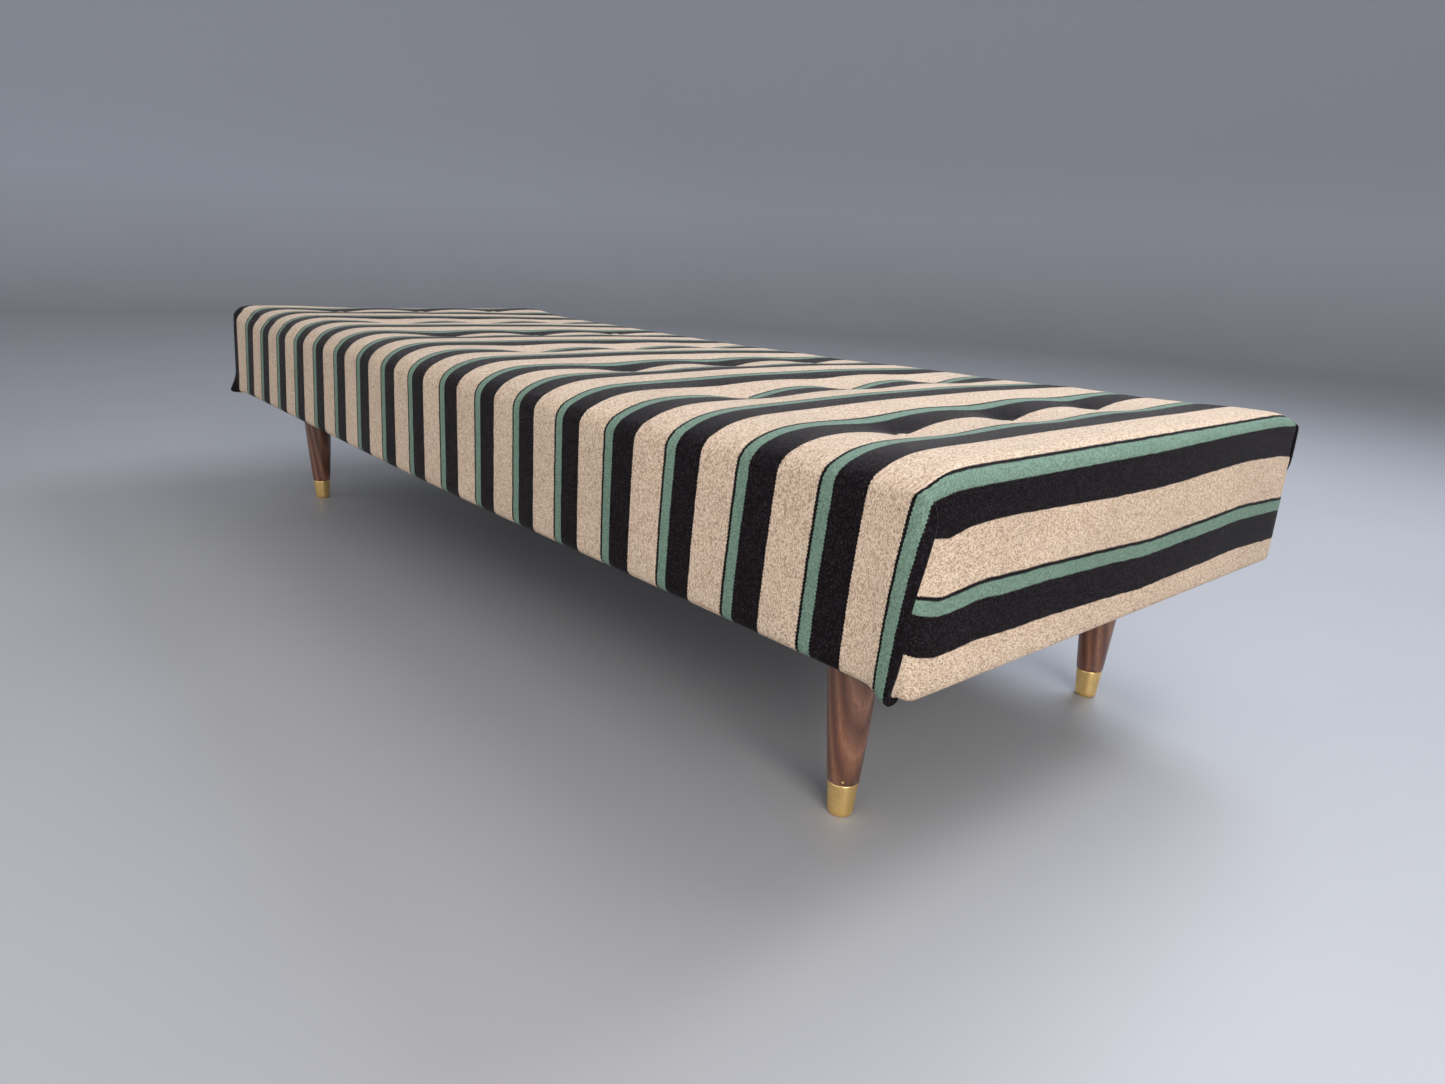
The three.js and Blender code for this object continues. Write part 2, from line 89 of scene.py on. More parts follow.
# The hem of the long sides hangs lower in the middle, up to this far along, and turns under the frame
HEM_BOW = 0.007
HEM_BOW_END = 0.93
HEM_RADIUS = 0.007
HEM_TURN = 0.024

# Squareness of the corners in plan: on the top at the near end, and what the walls and the far end add
TOP_SQUARENESS = 3.0
WALL_SQUARENESS = 6.0

# The cloth's stripes: repeat, and where each colour starts as a share of it
STRIPE_REPEAT = 0.105
STRIPE_ORIGIN = -0.813
THIN_BLACK_START = 0.477
GREEN_START = 0.512
BLACK_START = 0.641

# Drift of the stripes towards +X: on the top, and at the foot of the long sides
DRIFT_MIDDLE = 0.003
DRIFT_TILT = 0.011
DRIFT_BOW = 0.009
DRIFT_LOW = [(-0.95, 0.0), (0.0, 0.0), (0.15, 0.007), (0.3, 0.005), (0.55, 0.0), (0.7, 0.002),
             (0.875, 0.005), (0.92, -0.008), (0.95, -0.010)]
# Lift of the end panels' stripes: (distance below the edge, [(y, millimetres upwards), ...])
END_SLIDES = [
    (0.0, [(-0.37, -9), (-0.35, -4), (-0.33, -2.5), (-0.2, -3), (0.0, -3), (0.1, -1), (0.2, 1.5),
           (0.3, 1.5), (0.356, -2)]),
    (0.034, [(-0.37, -1), (-0.345, -5), (-0.31, 3), (-0.27, 4), (-0.22, 2), (-0.15, -1), (-0.08, -4),
             (0.04, -5), (0.12, -2), (0.23, 1), (0.33, -3), (0.37, -8)]),
    (0.115, [(-0.378, 3), (-0.345, -4), (-0.315, -2.5), (-0.29, 0), (-0.24, -3), (-0.19, -2.5), (-0.12, -5),
             (-0.06, -7), (0.01, -11), (0.08, -9), (0.16, -7.5), (0.24, -4.5), (0.31, -7), (0.372, -9)]),
]
# Drift that the stripes of the long sides lose towards the corners
CORNER_DRIFT = 0.006
# Height where the walls' cloth starts to be measured, and the height over which its drift changes
WALL_TOP_Z = 0.405
WALL_HEIGHT = 0.176


def along(pairs, x):
    """Value at x of a curve given by (x, value) pairs."""
    return np.interp(x, [p[0] for p in pairs], [p[1] for p in pairs])


def smooth(t):
    t = np.clip(t, 0.0, 1.0)
    return t * t * (3 - 2 * t)


def arc_length(theta, reach, drop):
    """Length along a quarter ellipse from its top (theta = 90 degrees) down to theta."""
    steps = np.linspace(0, math.pi / 2, 65)
    speed = np.hypot(reach * np.cos(steps), drop * np.sin(steps))
    total = np.concatenate([[0], np.cumsum((speed[1:] + speed[:-1]) / 2 * np.diff(steps))])
    return np.interp(math.pi / 2 - theta, steps, total)


def middle_of(node):
    """Middle of a CAD node in plan, and its half width."""
    low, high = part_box(node)
    return (low.x + high.x) / 2, (low.y + high.y) / 2, (high.x - low.x) / 2


BUTTONS = [f"button_row{row}_{column}" for row in range(1, TUFT_ROWS + 1)
           for column in range(1, TUFT_COLUMNS + 1)]
TUFTS = [middle_of(button)[:2] for button in BUTTONS]
TUFT_BOTTOMS = [(-0.82, 0.403), (-0.55, 0.3985), (0.1, 0.400), (0.4, 0.4025), (0.6, 0.405), (0.78, 0.4065)]


def tuft_bottom(x):
    """Height of the hollow under a button."""
    return along(TUFT_BOTTOMS, x)


def plain_height(x, y):
    """Height of the top without its tufts."""
    across = np.clip(1 - (y / CROWN_HALF_WIDTH) ** 2, 0, 1)
    tilt = along(BACK_DROP, x) * np.clip((y + 0.28) / 0.6, 0, 1)
    far_sag = FAR_SAG * smooth((-x - 0.84) / 0.09) * smooth((y + 0.27) / 0.2)
    return along(CREST, x) + along(CROWNS, x) * across - tilt - far_sag


def tuft_dip(x, y):
    """Depth of the hollows that the buttons pull."""
    dip = np.zeros(np.broadcast(x, y).shape)
    for tuft_x, tuft_y in TUFTS:
        away = np.sqrt(((x - tuft_x) / TUFT_SPREAD_X) ** 2 + ((y - tuft_y) / TUFT_SPREAD_Y) ** 2
                       + TUFT_SOFTNESS ** 2) - TUFT_SOFTNESS
        depth = plain_height(tuft_x, tuft_y) - tuft_bottom(tuft_x)
        dip = dip + depth * np.exp(-away)
    return dip


def hem_bow(x):
    """How far the middle of the long sides' hem hangs below its ends."""
    return HEM_BOW * (1 - smooth(np.abs(x) / HEM_BOW_END))


def bend_shares(x, y):
    """How far a sharp-box place is into the bend at the ends and at the long sides, 0 to 1."""
    tx = np.clip((np.abs(x) - (HALF_X - END_REACH)) / END_REACH, 0, 1)
    side_reach = along(SIDE_REACHES, x)
    ty = np.clip((np.abs(y) - (HALF_Y - side_reach)) / side_reach, 0, 1)
    return tx, ty


def bend_sizes(x, tx, ty):
    """Height of the bend, and the angle at which the wall takes over from the top."""
    weight = tx ** 2 + ty ** 2 + 1e-9
    side_drop = along(CREST, x) - along(BEND_START, x)
    drop = (tx ** 2 * END_DROP + ty ** 2 * side_drop) / weight
    drop = np.where(tx + ty > 0, drop, side_drop)
    end_angle = math.pi / 2 * END_DROP / (END_REACH + END_DROP)
    side_angle = math.pi / 2 * side_drop / (along(SIDE_REACHES, x) + side_drop)
    angle = (tx ** 2 * end_angle + ty ** 2 * side_angle) / weight
    return drop, angle


def body_place(x, y, q):
    """Place on the stuffed body. (x, y) is on a sharp box; q is 0 on the top and its rim, 0 to 1
    down the bend, 1 to 2 down the straight wall, and 2 to 3 round the hem and under the frame."""
    x, y, q = np.broadcast_arrays(x, y, q)
    tx, ty = bend_shares(x, y)
    drop, rim_angle = bend_sizes(x, tx, ty)
    on_top = np.maximum(tx, ty)
    angle = math.pi / 2 - (math.pi / 2 - rim_angle) * on_top
    angle = np.where(q > 0, rim_angle * (1 - np.clip(q, 0, 1)), angle)
    reach = np.cos(angle)
    squareness = TOP_SQUARENESS + WALL_SQUARENESS * np.maximum(smooth(q / 1.3), smooth(-x / 0.9))
    norm = (tx ** squareness + ty ** squareness) ** (1 / squareness)
    norm = np.where(norm > 0, norm, 1)
    out_x = np.where(tx > 0, HALF_X - END_REACH + END_REACH * reach * tx / norm, np.abs(x))
    side_reach = along(SIDE_REACHES, x)
    out_y = np.where(ty > 0, HALF_Y - side_reach + side_reach * reach * ty / norm, np.abs(y))
    top = plain_height(x, y) - tuft_dip(x, y)
    z = top - drop * (1 - np.sin(angle))
    bottom = HEM_Z - hem_bow(x) * ty
    wall_foot = bottom + HEM_RADIUS
    z = np.where(q > 1, z + (wall_foot - z) * np.clip(q - 1, 0, 1), z)
    turn = np.clip((q - 2) / 0.6, 0, 1) * math.pi / 2
    z = np.where(q > 2, wall_foot - HEM_RADIUS * np.sin(turn), z)
    inset = HEM_RADIUS * (1 - np.cos(turn)) + HEM_TURN * np.clip((q - 2.6) / 0.4, 0, 1)
    # The sides swell and lean
    level = np.clip((z - HEM_Z) / (SWELL_TOP_Z - HEM_Z), 0, 1)
    swell = along(SWELL_LOW, x) + (along(SWELL_HIGH, x) - along(SWELL_LOW, x)) * level
    out_y = out_y + swell * ty ** 2 * np.where(q > 0, 1, on_top ** 2)
    out_x = out_x - np.where(np.abs(x) >= HALF_X - 1e-6, inset, 0)
    out_y = out_y - np.where(np.abs(y) >= HALF_Y - 1e-6, inset, 0)
    out_x = np.minimum(out_x, HALF_X - inset)
    out_y = np.minimum(out_y, np.where(inset > 0, HALF_Y - inset, 10))
    return np.stack([np.sign(x) * out_x, np.sign(y) * out_y, z], -1)


# ---- Stripes: the cloth's own coordinates, unrolled, in metres ----
def top_drift(x):
    share = x / HALF_X
    return DRIFT_MIDDLE + DRIFT_TILT * share + DRIFT_BOW * share ** 2


def unrolled(x, half, reach, drop):
    """Distance along the cloth for a sharp-box coordinate on the top, arc length over the bend."""
    share = np.clip((np.abs(x) - (half - reach)) / reach, 0, 1)
    rim = math.pi / 2 * drop / (reach + drop)
    theta = math.pi / 2 - (math.pi / 2 - rim) * share
    bent = half - reach + arc_length(theta, reach, drop)
    return np.sign(x) * np.where(share > 0, bent, np.abs(x))


def top_cloth(x, y):
    """Cloth coordinates on the top, for sharp-box coordinates."""
    s = unrolled(x, HALF_X, END_REACH, END_DROP) - top_drift(np.clip(x, -0.93, 0.93))
    t = unrolled(y, HALF_Y, SIDE_REACH_USUAL, SIDE_DROP_USUAL)
    return s, t


def side_cloth(x, q, wrapped, z, sign_y):
    """Cloth coordinates on a long side. wrapped is x, carried on round the corner where it folds."""
    s_top, t_top = top_cloth(x, np.full_like(x, sign_y * HALF_Y))
    s_top = s_top + wrapped - x
    high = top_drift(wrapped) - CORNER_DRIFT * smooth((np.abs(wrapped) - 0.88) / 0.05)
    low = along(DRIFT_LOW, wrapped)
    level = np.clip((z - HEM_Z) / WALL_HEIGHT, 0, 1) ** 1.4
    s_low = wrapped - (low + (high - low) * level)
    s = s_top + (s_low - s_top) * smooth(q)
    t = t_top + sign_y * (WALL_TOP_Z - z)
    return s, t


def end_cloth(q, y, z, sign_x):
    """Cloth coordinates on an end panel: the cloth runs over the edge and down."""
    rim = math.pi / 2 * END_DROP / (END_REACH + END_DROP)
    theta = rim * (1 - np.clip(q, 0, 1))
    distance = HALF_X - END_REACH + arc_length(theta, END_REACH, END_DROP)
    wall_top = along(CREST, sign_x * HALF_X) - END_DROP
    below = np.clip(wall_top - z, 0, None)
    heights = [height for height, _ in END_SLIDES]
    slides = [along(pairs, y) * 0.001 for _, pairs in END_SLIDES]
    slide = slides[0] * smooth(q)
    for step in range(len(heights) - 1):
        share = np.clip((below - heights[step]) / (heights[step + 1] - heights[step]), 0, 1)
        slide = slide + (slides[step + 1] - slides[step]) * smooth(share)
    s = sign_x * (distance + below + slide) - top_drift(sign_x * 0.93)
    return s, y


# ---- The cover's net ----
def lines(half, close, step):
    """Grid lines from -half to half: close to the ends at the given distances, even in between."""
    inner = half - close[-1]
    count = int(round(2 * inner / step))
    middle = np.linspace(-inner, inner, count + 1)
    ends = half - np.array(close[:-1])
    return np.concatenate([-ends, middle, ends[::-1]])


NORMAL_LINES = 0.014
CLOSE_X = [0.0, 0.0015, 0.005, 0.010, 0.016, 0.023, 0.031, 0.041, 0.053]
CLOSE_Y = [0.0, 0.004, 0.009, 0.015, 0.022, 0.030, 0.039, 0.049, 0.060, 0.072]
BEND_LEVELS = [0.25, 0.5, 0.75, 1.0]
WALL_STEPS = 11
HEM_LEVELS = [2.2, 2.4, 2.6, 2.75, 3.0]

# Each corner's fold: distance round the corner onto the end (+) or back on the side (-), by height.
FOLDS = {
    "front_right": [(0.224, -0.020), (0.247, -0.014), (0.262, -0.011), (0.295, -0.0084), (0.325, -0.003),
                    (0.35, 0.002), (0.37, 0.009), (0.383, 0.014), (0.395, 0.004), (0.402, 0.0)],
    "back_right": [(0.224, -0.016), (0.33, -0.010), (0.350, 0.002), (0.360, 0.010), (0.375, 0.016),
                   (0.395, 0.010), (0.4176, 0.0)],
    "front_left": [(0.224, 0.004), (0.30, 0.003), (0.36, 0.008), (0.385, 0.014), (0.41, 0.0)],
    "back_left": [(0.224, -0.016), (0.295, -0.009), (0.34, 0.002), (0.37, 0.012), (0.385, 0.018),
                  (0.41, 0.0)],
}
# How far a fold stands out, how far from the corner it starts, the cloth in its edge, and its clearance
FOLD_STAND = 0.003
FOLD_REACH = 0.055
FOLD_EDGE = 0.003
TUCK_GAP = 0.0012
# Loose lower corner of each fold: how far it hangs below the hem and stands out, and where it starts
TABS = {"front_right": (0.009, 0.003), "back_right": (0.008, 0.0), "front_left": (0.003, 0.016),
        "back_left": (0.006, 0.004)}
TAB_TOP_Z = 0.262


def corner_of(sign_x, sign_y):
    return next(name for name, sx, sy in CORNERS if sx == sign_x and sy == sign_y)


def wall_net(levels, xs, ys, side):
    """Sharp-box coordinates of one wall, indexed [column, level], and the sign of its side."""
    sign = 1 if side in ("back", "right") else -1
    if side in ("front", "back"):
        x, y = xs, np.full_like(xs, sign * HALF_Y)
    else:
        x, y = np.full_like(ys, sign * HALF_X), ys
    x, y, q = np.broadcast_arrays(x[:, None], y[:, None], np.array(levels)[None, :])
    return x, y, q, sign


def numbered(shape, start=0):
    """Consecutive vertex numbers in an array of this shape."""
    return start + np.arange(np.prod(shape)).reshape(shape)


def grid_corners(values, flip=False):
    """The values at the four corners of each cell of a grid, in the order of a face."""
    a, b, c, d = values[:-1, :-1], values[1:, :-1], values[1:, 1:], values[:-1, 1:]
    order = [a, d, c, b] if flip else [a, b, c, d]
    return np.stack(order, 2).reshape(-1, 4, *values.shape[2:])


def fold_at(name, z, q):
    return along(FOLDS[name], z) * smooth(q / 0.7)


def outward(x, y):
    """Unit outward direction in plan near the box's outline."""
    tx, ty = bend_shares(x, y)
    nx = np.sign(x) * tx ** 6
    ny = np.sign(y) * ty ** 6
    size = np.hypot(nx, ny) + 1e-9
    return np.stack([nx / size, ny / size, np.zeros_like(nx)], -1)


def long_side(levels, xs, ys, side):
    """Places and cloth coordinates of a long side, whose ends fold round the corners."""
    x, y, q, sign_y = wall_net(levels, xs, ys, side)
    flat = body_place(x, y, q)
    z = flat[..., 2]
    wrapped = x.copy()
    stand, droop, flare = np.zeros((3, *x.shape))
    for sign_x in (-1, 1):
        name = corner_of(sign_x, sign_y)
        fold = fold_at(name, z, q)
        from_corner = HALF_X - sign_x * x
        near = from_corner < FOLD_REACH
        share = np.clip(1 - from_corner / FOLD_REACH, 0, 1)
        wrapped = np.where(near, x + sign_x * share * fold, wrapped)
        stand = np.maximum(stand, np.where(near, FOLD_STAND * smooth(share * 1.3) * smooth(q / 0.8), 0))
        stand = np.where(near & (from_corner < 1e-6) & (q > 0), stand * 0.6, stand)
        low = smooth((TAB_TOP_Z - z) / 0.04)
        droop = droop + TABS[name][0] * smooth((share - 0.1) / 0.9) * low
        flare = flare + TABS[name][1] * smooth((share - 0.3) / 0.7) * low
    past = np.abs(wrapped) - HALF_X
    sharp_x = np.where(past > 0, np.sign(x) * HALF_X, wrapped)
    sharp_y = np.where(past > 0, sign_y * (HALF_Y - past), y)
    place = body_place(sharp_x, sharp_y, q)
    place = place + outward(sharp_x, sharp_y) * (stand + flare)[..., None]
    place[..., 2] -= droop
    s, t = side_cloth(x, q, wrapped, z, sign_y)
    return place, s, t


def end_side(levels, xs, ys, side):
    """Places and cloth coordinates of an end panel, whose edges tuck under the folds."""
    x, y, q, sign_x = wall_net(levels, xs, ys, side)
    z = body_place(x, y, q)[..., 2]
    tucked = y.copy()
    for sign_y in (-1, 1):
        name = corner_of(sign_x, sign_y)
        fold = fold_at(name, z, q) - TUCK_GAP * smooth(q)
        share = np.clip(1 - (HALF_Y - sign_y * y) / FOLD_REACH, 0, 1)
        tucked = np.where(share > 0, y - sign_y * share * fold, tucked)
    past = np.abs(tucked) - HALF_Y
    sharp_y = np.where(past > 0, np.sign(y) * HALF_Y, tucked)
    sharp_x = np.where(past > 0, sign_x * (HALF_X - past), x)
    place = body_place(sharp_x, sharp_y, q)
    s, t = end_cloth(q, tucked, z, sign_x)
    return place, s, t


def cover_net():
    """Vertices, faces and per-corner cloth coordinates of the whole cover."""
    xs = lines(HALF_X, CLOSE_X, NORMAL_LINES)
    ys = lines(HALF_Y, CLOSE_Y, NORMAL_LINES)
    levels = BEND_LEVELS + [1 + (i + 1) / WALL_STEPS for i in range(WALL_STEPS)] + HEM_LEVELS
    grid_x, grid_y = np.meshgrid(xs, ys, indexing="ij")
    top = body_place(grid_x, grid_y, np.zeros_like(grid_x))
    top_s, top_t = top_cloth(grid_x, grid_y)
    places = [top.reshape(-1, 3)]
    top_index = numbered(grid_x.shape)
    faces, cloth = [], []

    def add_quads(index, s, t, flip):
        faces.append(grid_corners(index, flip))
        cloth.append(grid_corners(np.stack([s, t], -1), flip))

    add_quads(top_index, top_s, top_t, False)
    count = grid_x.size
    walls = {}
    rims = {"front": top_index[:, 0], "back": top_index[:, -1],
            "right": top_index[-1, :], "left": top_index[0, :]}
    for side, rim in rims.items():
        maker = long_side if side in ("front", "back") else end_side
        place, s, t = maker([0.0] + levels, xs, ys, side)
        wall = place[:, 1:]
        index = numbered(wall.shape[:2], count)
        places.append(wall.reshape(-1, 3))
        count += index.size
        index = np.concatenate([rim[:, None], index], 1)
        add_quads(index, s, t, side in ("front", "right"))
        walls[side] = (index, s, t)
    # The folded edge: a narrow strip from the flap's edge back under to the end panel
    for name, sign_x, sign_y in CORNERS:
        flap_index, flap_s, flap_t = walls["front" if sign_y < 0 else "back"]
        panel_index, _, _ = walls["right" if sign_x > 0 else "left"]
        edge = -1 if sign_x > 0 else 0
        s, t = flap_s[edge], flap_t[edge]
        strip = np.stack([flap_index[edge], panel_index[-1 if sign_y > 0 else 0]])
        add_quads(strip, np.stack([s, s + sign_x * FOLD_EDGE]), np.stack([t, t]), sign_x * sign_y < 0)
    return np.concatenate(places), np.concatenate(faces), np.concatenate(cloth)


def mesh_object(name, places, faces, cloth=None):
    """A new mesh object from arrays, with its cloth coordinates as a UV map."""
    mesh = bpy.data.meshes.new(name)
    face_list, loop_cloth = [], []
    for number, face in enumerate(faces):
        corners = []
        for k, vertex in enumerate(face):
            if vertex not in corners:
                corners.append(int(vertex))
                if cloth is not None:
                    loop_cloth.append(cloth[number][k])
        face_list.append(corners)
    mesh.from_pydata([tuple(p) for p in places], [], face_list)
    if cloth is not None:
        layer = mesh.uv_layers.new(name="cloth")
        layer.data.foreach_set("uv", np.array(loop_cloth, np.float32).ravel())
    mesh.update()
    piece = bpy.data.objects.new(name, mesh)
    bpy.context.scene.collection.objects.link(piece)
    for polygon in mesh.polygons:
        polygon.use_smooth = True
    return piece


def apply_modifiers(piece):
    depsgraph = bpy.context.evaluated_depsgraph_get()
    mesh = bpy.data.meshes.new_from_object(piece.evaluated_get(depsgraph))
    old = piece.data
    piece.modifiers.clear()
    piece.data = mesh
    bpy.data.meshes.remove(old)


def thicken(piece, thickness, offset, subdivisions=0):
    """Subdivides a cloth and gives it thickness: inwards with offset -1, both ways with 0."""
    if subdivisions:
        subdivision = piece.modifiers.new("subdivision", "SUBSURF")
        subdivision.levels = subdivision.render_levels = subdivisions
    solid = piece.modifiers.new("thickness", "SOLIDIFY")
    solid.thickness = thickness
    solid.offset = offset
    apply_modifiers(piece)


# ---- Materials ----
class Nodes:
    """A short way to write a node material."""

    def __init__(self, name):
        self.material = bpy.data.materials.new(name)
        self.material.use_nodes = True
        self.tree = self.material.node_tree
        self.shader = self.tree.nodes["Principled BSDF"]

    def add(self, kind, **settings):
        node = self.tree.nodes.new(kind)
        for key, value in settings.items():
            setattr(node, key, value)
        return node

    def feed(self, socket, value):
        if isinstance(value, bpy.types.NodeSocket):
            self.tree.links.new(value, socket)
        else:
            socket.default_value = value

    def math(self, operation, a, b=0.0):
        node = self.add("ShaderNodeMath", operation=operation)
        self.feed(node.inputs[0], a)
        self.feed(node.inputs[1], b)
        return node.outputs[0]

    def plus(self, a, b):
        return self.math("ADD", a, b)

    def times(self, a, b):
        return self.math("MULTIPLY", a, b)

    def weigh(self, a, share_a, b, share_b):
        """Sum of two values, each times its share."""
        return self.plus(self.times(a, share_a), self.times(b, share_b))

    def ramp(self, value, stops, interpolation="LINEAR"):
        node = self.add("ShaderNodeValToRGB")
        node.color_ramp.interpolation = interpolation
        elements = node.color_ramp.elements
        while len(elements) < len(stops):
            elements.new(0.5)
        for element, (position, color) in zip(elements, stops):
            element.position = position
            element.color = (*color, 1) if hasattr(color, "__len__") else (color, color, color, 1)
        self.feed(node.inputs[0], value)
        return node.outputs[0]

    def mix(self, share, a, b, blend="MIX"):
        node = self.add("ShaderNodeMix", data_type="RGBA", blend_type=blend)
        self.feed(node.inputs[0], share)
        self.feed(node.inputs[6], (*a, 1) if isinstance(a, tuple) else a)
        self.feed(node.inputs[7], (*b, 1) if isinstance(b, tuple) else b)
        return node.outputs[2]

    def scaled(self, vector, scale):
        node = self.add("ShaderNodeMapping")
        self.feed(node.inputs["Vector"], vector)
        node.inputs["Scale"].default_value = scale
        return node.outputs[0]

    def noise(self, vector, scale, detail=2.0, roughness=0.5, distortion=0.0):
        node = self.add("ShaderNodeTexNoise")
        self.feed(node.inputs["Vector"], vector)
        values = {"Scale": scale, "Detail": detail, "Roughness": roughness, "Distortion": distortion}
        for key, value in values.items():
            node.inputs[key].default_value = value
        return node.outputs["Fac"]

    def split(self, vector):
        """The x, y and z of a vector."""
        node = self.add("ShaderNodeSeparateXYZ")
        self.feed(node.inputs[0], vector)
        return tuple(node.outputs)

    def object_place(self):
        return self.add("ShaderNodeTexCoord").outputs["Object"]

    def bump(self, height, distance, strength):
        node = self.add("ShaderNodeBump")
        node.inputs["Strength"].default_value = strength
        node.inputs["Distance"].default_value = distance
        self.feed(node.inputs["Height"], height)
        return node.outputs[0]

    def set(self, **values):
        names = {"color": "Base Color", "roughness": "Roughness", "metallic": "Metallic", "normal": "Normal",
                 "sheen": "Sheen Weight", "sheen_roughness": "Sheen Roughness", "sheen_tint": "Sheen Tint",
                 "specular": "Specular IOR Level", "coat": "Coat Weight", "coat_roughness": "Coat Roughness"}
        for key, value in values.items():
            self.feed(self.shader.inputs[names[key]], value)
        return self.material


def linear(red, green, blue):
    """A colour given as it looks on screen, 0 to 255."""
    channels = [c / 255 for c in (red, green, blue)]
    return tuple(c / 12.92 if c <= 0.04045 else ((c + 0.055) / 1.055) ** 2.4 for c in channels)


THREAD_ACROSS = 0.0011
THREAD_ALONG = 0.0012


def yarn_cells(n, s, t, length):
    """Random value for each short run of yarn."""
    column = n.math("FLOOR", n.math("DIVIDE", s, THREAD_ACROSS))
    shift = n.math("FRACT", n.times(column, 0.618))
    row = n.math("FLOOR", n.plus(n.math("DIVIDE", t, length), shift))
    cell = n.add("ShaderNodeCombineXYZ")
    n.feed(cell.inputs[0], column)
    n.feed(cell.inputs[1], row)
    random = n.add("ShaderNodeTexWhiteNoise", noise_dimensions="3D")
    n.feed(random.inputs["Vector"], cell.outputs[0])
    return random.outputs["Value"]


def wool(name, striped):
    """Heathered wool cloth: flecked yarns, a fine weave, a little fuzz. Striped or plain beige."""
    n = Nodes(name)
    uv = n.add("ShaderNodeUVMap", uv_map="cloth").outputs[0] if striped else n.object_place()
    s, t, _ = n.split(uv)
    fleck = yarn_cells(n, s, t, 0.0019)
    fine = yarn_cells(n, n.plus(s, 0.37), n.times(t, 1.7), 0.0014)
    cloud = n.noise(n.scaled(uv, (1200, 1000, 1)), 1.0, 2.0, 0.6)
    broad = n.noise(uv, 9.0, 3.0, 0.55)
    grain = n.weigh(fleck, 0.42, fine, 0.23)
    grain = n.plus(grain, n.times(cloud, 0.35))
    beige = n.ramp(grain, [(0.18, linear(122, 101, 81)), (0.38, linear(178, 155, 133)),
                           (0.62, linear(206, 185, 163)), (0.88, linear(228, 211, 191))])
    color = beige
    if striped:
        # Yarns step in and out of the stripe edges
        pick = n.math("FLOOR", n.math("DIVIDE", t, THREAD_ALONG * 1.6))
        teeth = n.times(n.math("PINGPONG", pick, 1.0), 0.0007)
        wander = n.times(n.math("SUBTRACT", n.noise(uv, 60.0, 2.0), 0.5), 0.0022)
        edge = n.plus(n.plus(s, teeth), wander)
        repeat = n.math("FRACT", n.math("DIVIDE", n.math("SUBTRACT", edge, STRIPE_ORIGIN), STRIPE_REPEAT))
        green = n.ramp(grain, [(0.15, linear(80, 100, 88)), (0.5, linear(104, 128, 113)),
                               (0.9, linear(128, 152, 136))])
        black = n.ramp(grain, [(0.2, linear(11, 8, 10)), (0.55, linear(21, 17, 20)),
                               (0.72, linear(36, 31, 34)), (0.86, linear(66, 60, 62))])
        is_beige = n.ramp(repeat, [(0.0, 1.0), (THIN_BLACK_START, 0.0)], "CONSTANT")
        is_green = n.ramp(repeat, [(0.0, 0.0), (GREEN_START, 1.0), (BLACK_START, 0.0)], "CONSTANT")
        color = n.mix(is_beige, n.mix(is_green, black, green), beige)
    shade = n.ramp(broad, [(0.3, 0.93), (0.7, 1.04)])
    color = n.mix(1.0, color, shade, "MULTIPLY")
    across = n.math("SINE", n.times(s, 2 * math.pi / THREAD_ACROSS))
    lengthwise = n.math("SINE", n.times(t, 2 * math.pi / THREAD_ALONG))
    weave = n.weigh(across, 0.5, lengthwise, 0.5)
    height = n.weigh(weave, 0.3, cloud, 1.2)
    height = n.plus(height, n.times(fleck, 0.5))
    normal = n.bump(height, 0.0007, 0.55)
    return n.set(color=color, roughness=0.85, normal=normal, sheen=0.2, sheen_roughness=0.12,
                 sheen_tint=(1.0, 0.985, 0.985, 1), specular=0.05)


def walnut():
    """Oiled walnut: long grain rings that make cathedrals on a turned taper, dark pores, soft gloss."""
    n = Nodes("walnut")
    place = n.object_place()
    warp = n.noise(n.scaled(place, (14, 14, 2.4)), 1.0, 3.0, 0.55)
    x, y, height = n.split(place)
    ring_x = n.plus(n.plus(x, n.times(height, 0.11)), 0.05)
    ring_y = n.plus(n.plus(y, n.times(height, -0.05)), 0.02)
    distance = n.math("SQRT", n.plus(n.math("POWER", ring_x, 2.0), n.math("POWER", ring_y, 2.0)))
    rings = n.weigh(distance, 150.0, warp, 3.6)
    band = n.math("PINGPONG", rings, 1.0)
    fibre = n.noise(n.scaled(place, (900, 900, 26)), 1.0, 2.0, 0.6)
    pores = n.ramp(n.noise(n.scaled(place, (1500, 1500, 60)), 1.0, 1.0), [(0.60, 1.0), (0.70, 0.45)])
    tone = n.weigh(band, 0.65, fibre, 0.4)
    color = n.ramp(tone, [(0.1, linear(72, 41, 30)), (0.4, linear(94, 58, 42)), (0.7, linear(116, 76, 55)),
                          (0.95, linear(140, 97, 72))])
    color = n.mix(1.0, color, pores, "MULTIPLY")
    # Pale rubbed wear close under the body and above the ferrule
    near_top = n.ramp(height, [(0.196, 0.0), (0.2215, 1.0)])
    near_foot = n.ramp(height, [(0.042, 1.0), (0.052, 0.0)])
    scuff = n.ramp(n.noise(n.scaled(place, (120, 120, 46)), 1.0, 4.0, 0.65), [(0.56, 0.0), (0.68, 1.0)])
    wear = n.times(scuff, n.math("MAXIMUM", near_top, near_foot))
    color = n.mix(n.times(wear, 0.45), color, linear(196, 168, 138))
    roughness = n.plus(0.30, n.times(fibre, 0.16))
    normal = n.bump(n.plus(fibre, pores), 0.00012, 0.5)
    return n.set(color=color, roughness=roughness, normal=normal, coat=0.5, coat_roughness=0.16)


